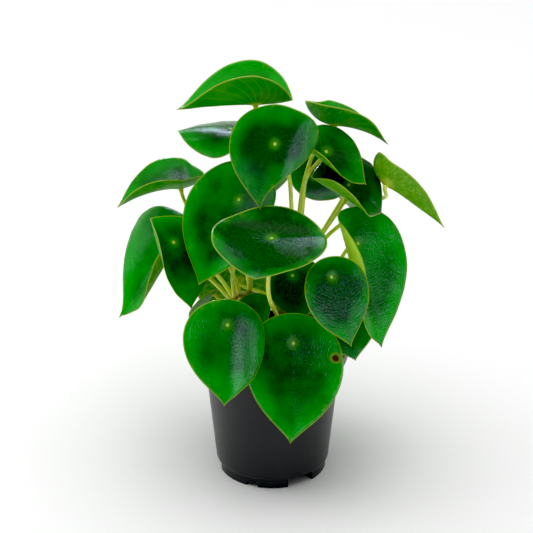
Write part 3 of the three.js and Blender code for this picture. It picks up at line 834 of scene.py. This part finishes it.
class PEPEROMIA_OT_leaves(bpy.types.Operator):
    """Build the leaf blades with their veins, wavy margins and sharp tips"""

    bl_idname = "peperomia.leaves"
    bl_label = "Leaf Blades"

    def execute(self, context):
        """Shape a turned disc into each blade and give it its thickness."""
        settings = context.scene.peperomia_leaves
        materials = [
            waxy_upper_face(settings.deep, settings.fresh_and_lit_green),
            matte_underside(settings.under),
            translucent_margin(),
        ]
        for number in LEAF_NUMBERS:
            self.add_blade(number, settings, materials)
        return {"FINISHED"}

    def add_blade(self, number, settings, materials):
        """One blade with the attributes that its materials read."""
        spokes, rings = settings.spokes, settings.rings
        blade = read_blade(number)
        grid, turns, lengths = fine_blade(blade, spokes, rings)
        up = blade["up"]
        seed = int(number) * 17.0

        # Flat coordinates in millimetres: along the midrib to the tip, and to the left.
        shares = np.linspace(0, 1, rings + 1)
        distance = shares[:, None] * lengths[None, :] / MM
        flat = np.stack([distance * np.cos(turns), distance * np.sin(turns)], axis=-1)

        # Distance to the margin in millimetres.
        start = flat[-1]
        along = np.roll(start, -1, axis=0) - start
        offset = flat[:, :, None, :] - start[None, None]
        part = np.clip(np.sum(offset * along, axis=-1) / np.sum(along * along, axis=-1), 0, 1)
        rim = np.linalg.norm(offset - part[..., None] * along, axis=-1).min(axis=-1)

        # Veins leave the pole evenly and bend towards the tip. Their spacing is in millimetres.
        veer = 1 - 0.3 * shares[:, None] ** 2
        half_turn = np.minimum(turns, math.tau - turns)
        vein = half_turn[None, :] / veer / (math.tau / PRIMARY_VEINS)
        vein_gap = distance * (math.tau / PRIMARY_VEINS)

        normals = np.cross(
            np.roll(grid, -1, axis=1) - np.roll(grid, 1, axis=1), np.gradient(grid, axis=0), axis=-1
        )
        normals[0] = -up
        normals /= -np.linalg.norm(normals, axis=-1)[..., None]

        mesh = turned([(share, 0, 0) for share in shares], spokes, SEAM)
        if sum(edge.is_boundary for edge in mesh.edges) != spokes:
            raise RuntimeError(f"the disc of leaf_{number} is not closed along its seam")
        mesh.normal_update()
        if sum(face.normal.z for face in mesh.faces) < 0:
            bmesh.ops.reverse_faces(mesh, faces=mesh.faces)
        layers = mesh.verts.layers
        body = layers.deform.verify()
        flat_layer = layers.float_vector.new("flat")
        drift_layer = layers.float_vector.new("drift")
        names = ("rim", "pole", "vein", "vein_gap", "tone", "under_tone")
        scalars = {name: layers.float.new(name) for name in names}
        for vert in mesh.verts:
            ring = round(math.hypot(vert.co.x, vert.co.y) * rings)
            spoke = round(math.atan2(vert.co.y, vert.co.x) / math.tau * spokes) % spokes
            x, y = flat[ring, spoke]
            share = shares[ring]
            wave = noise.noise(Vector((x, y, seed)) / 17.0) + 0.5 * noise.noise(Vector((x, y, seed)) / 7.0)
            lift = settings.waviness * wave * share**3
            lift -= DIMPLE * math.exp(-((distance[ring, spoke] / DIMPLE_REACH) ** 2))
            vert.co = Vector(grid[ring, spoke]) + Vector(normals[ring, spoke]) * lift
            vert[body][0] = 1 - share**4
            vert[flat_layer] = (x, y, seed)
            vert[drift_layer] = (0.0, 0.0, seed + half_turn[spoke] * 6.0 + 0.04 * y)
            vert[scalars["rim"]] = rim[ring, spoke]
            vert[scalars["pole"]] = distance[ring, spoke]
            vert[scalars["vein"]] = vein[ring, spoke]
            vert[scalars["vein_gap"]] = vein_gap[ring, spoke]
            # Each leaf's tones carry painted light and shade as well as its own green.
            vert[scalars["tone"]] = TONES_AND_PAINTED_LIGHT.get(number, 0.0)
            vert[scalars["under_tone"]] = UNDER_TONES_AND_PAINTED_GLOW.get(number, 0.0)
        piece = add_piece("leaf_" + number, mesh, materials, ["blade_" + number])
        shell = piece.modifiers.new("Thickness", "SOLIDIFY")
        shell.vertex_group = piece.vertex_groups.new(name="flesh").name
        shell.thickness_vertex_group = settings.margin / settings.thickness
        shell.thickness = settings.thickness
        shell.offset = -1.0
        shell.material_offset = 1
        shell.material_offset_rim = 2


# ------------------------------------------------------------------ the stage


# Light below this counts as black, which gives the deep shades and the full greens of a contrasty print.
BLACK_POINT = 0.023


# Each disc-shaped lamp: its place, its width in metres, its power in watts, and whether it is a soft box, which
# shows in gloss and lights nothing matte.
LAMPS = (
    ("ceiling_light", (-0.3, 0.2, 3.5), 6.0, 104.0, False),
    ("window_light", (-1.6, 0.1, 1.6), 1.8, 6.0, False),
    ("top_left_soft_box", (-0.42, 1.13, 1.19), 0.36, 12.0, True),
    ("top_right_soft_box", (0.36, 0.78, 1.4), 0.22, 2.0, True),
    ("right_soft_box", (1.19, -0.64, 0.34), 0.4, 2.8, True),
    ("front_soft_box", (0.56, -1.37, 0.46), 0.8, 9.0, True),
    ("left_soft_box", (-1.18, -0.85, 0.54), 0.16, 1.1, True),
    ("back_soft_box", (-1.25, 0.4, 0.75), 0.2, 0.8, True),
)
LAMPS_AIM = (0, 0, 0.15)

CAMERA_TARGET = (-4.4 * MM, 0, 158.4 * MM)
CAMERA_PITCH = math.radians(24.4)
CAMERA_DISTANCE = 1254 * MM
CAMERA_LENS = 120
CAMERA_SENSOR = 36


class PEPEROMIA_OT_stage(bpy.types.Operator):
    """Set up the pale floor, the soft studio light and the camera"""

    bl_idname = "peperomia.stage"
    bl_label = "Studio"

    def execute(self, context):
        """Add the floor, the lights and the camera."""
        scene = context.scene
        mesh = bmesh.new()
        bmesh.ops.create_grid(mesh, x_segments=1, y_segments=1, size=6.0)
        data = bpy.data.meshes.new("floor")
        mesh.to_mesh(data)
        mesh.free()
        floor = bpy.data.objects.new("floor", data)
        scene.collection.objects.link(floor)
        material, tree = new_material("matte_white_paper")
        paper = {"Base Color": linear("#f4f4f4"), "Roughness": 0.9, "Specular IOR Level": 0.1}
        add_node(tree, "OutputMaterial", {"Surface": add_node(tree, "BsdfPrincipled", paper)})
        data.materials.append(material)

        # Studio: dim walls, a little paler behind. The two large lamps light the room, and the soft boxes
        # only show as cool highlights in the gloss of the leaves and the pot.
        world = bpy.data.worlds.new("studio")
        scene.world = world
        world.use_nodes = True
        tree = world.node_tree
        tree.nodes.clear()
        direction = add_node(tree, "TexCoord").outputs["Generated"]
        split = add_node(tree, "SeparateXYZ", {"Vector": direction})
        ceiling = {"Value": split.outputs["Z"], "From Min": 0.6, "From Max": 0.98, "To Min": 0.34, "To Max": 0.95}
        wall = {"Value": split.outputs["Y"], "From Min": -0.1, "From Max": 0.8, "To Max": 0.1}
        ceiling = add_node(tree, "MapRange", ceiling, **SMOOTH)
        strength = add_node(tree, "Math", {0: ceiling, 1: add_node(tree, "MapRange", wall, **SMOOTH)}, operation="ADD")
        sky = add_node(tree, "Background", {"Color": linear("#ffffff"), "Strength": strength})
        add_node(tree, "OutputWorld", {"Surface": sky})

        for name, place, size, power, seen_in_gloss in LAMPS:
            lamp = bpy.data.lights.new(name, "AREA")
            lamp.shape = "DISK"
            lamp.size = size
            lamp.energy = power
            light = bpy.data.objects.new(name, lamp)
            light.location = place
            light.rotation_euler = (Vector(LAMPS_AIM) - Vector(place)).to_track_quat("-Z", "Y").to_euler()
            light.visible_glossy = seen_in_gloss
            light.visible_diffuse = not seen_in_gloss
            if seen_in_gloss:
                lamp.color = linear("#d6e6ff")[:3]
            scene.collection.objects.link(light)

        camera = bpy.data.cameras.new("camera")
        camera.lens = CAMERA_LENS
        camera.sensor_width = CAMERA_SENSOR
        camera.clip_end = 20
        view = bpy.data.objects.new("camera", camera)
        back = Vector((0, -math.cos(CAMERA_PITCH), math.sin(CAMERA_PITCH)))
        view.location = Vector(CAMERA_TARGET) + back * CAMERA_DISTANCE
        view.rotation_euler = (math.radians(90) - CAMERA_PITCH, 0, 0)
        scene.collection.objects.link(view)
        scene.camera = view
        scene.view_settings.view_transform = "Standard"
        scene.view_settings.use_curve_mapping = True
        scene.view_settings.curve_mapping.black_level = (BLACK_POINT,) * 3
        return {"FINISHED"}


# ------------------------------------------------------------------ the panel


OPERATORS = (
    PEPEROMIA_OT_stage,
    PEPEROMIA_OT_pot,
    PEPEROMIA_OT_soil,
    PEPEROMIA_OT_stems,
    PEPEROMIA_OT_petioles,
    PEPEROMIA_OT_leaves,
)
SETTINGS = {
    "peperomia_pot": PotSettings,
    "peperomia_soil": SoilSettings,
    "peperomia_leaves": LeafSettings,
    "peperomia_stalks": StalkSettings,
}


class PEPEROMIA_PT_panel(bpy.types.Panel):
    """Lists the plant's pieces and their settings"""

    bl_idname = "PEPEROMIA_PT_panel"
    bl_label = "Potted Peperomia"
    bl_space_type = "VIEW_3D"
    bl_region_type = "UI"
    bl_category = "Peperomia"

    def draw(self, context):
        """One button for each piece, over the settings."""
        for operator in OPERATORS:
            self.layout.operator(operator.bl_idname)
        for name in SETTINGS:
            group = getattr(context.scene, name)
            box = self.layout.box()
            for key in group.bl_rna.properties.keys():
                if key not in {"rna_type", "name"}:
                    box.prop(group, key)


def register():
    """Adds the settings, operators and panel to Blender."""
    for name, group in SETTINGS.items():
        bpy.utils.register_class(group)
        setattr(bpy.types.Scene, name, bpy.props.PointerProperty(type=group))
    for operator in OPERATORS:
        bpy.utils.register_class(operator)
    bpy.utils.register_class(PEPEROMIA_PT_panel)


def unregister():
    """Takes them out again."""
    bpy.utils.unregister_class(PEPEROMIA_PT_panel)
    for operator in reversed(OPERATORS):
        bpy.utils.unregister_class(operator)
    for name, group in SETTINGS.items():
        delattr(bpy.types.Scene, name)
        bpy.utils.unregister_class(group)


def main():
    """Builds every piece in order."""
    register()
    for operator in OPERATORS:
        family, name = operator.bl_idname.split(".")
        getattr(getattr(bpy.ops, family), name)()
    bpy.context.view_layer.update()


if __name__ == "__main__":
    main()
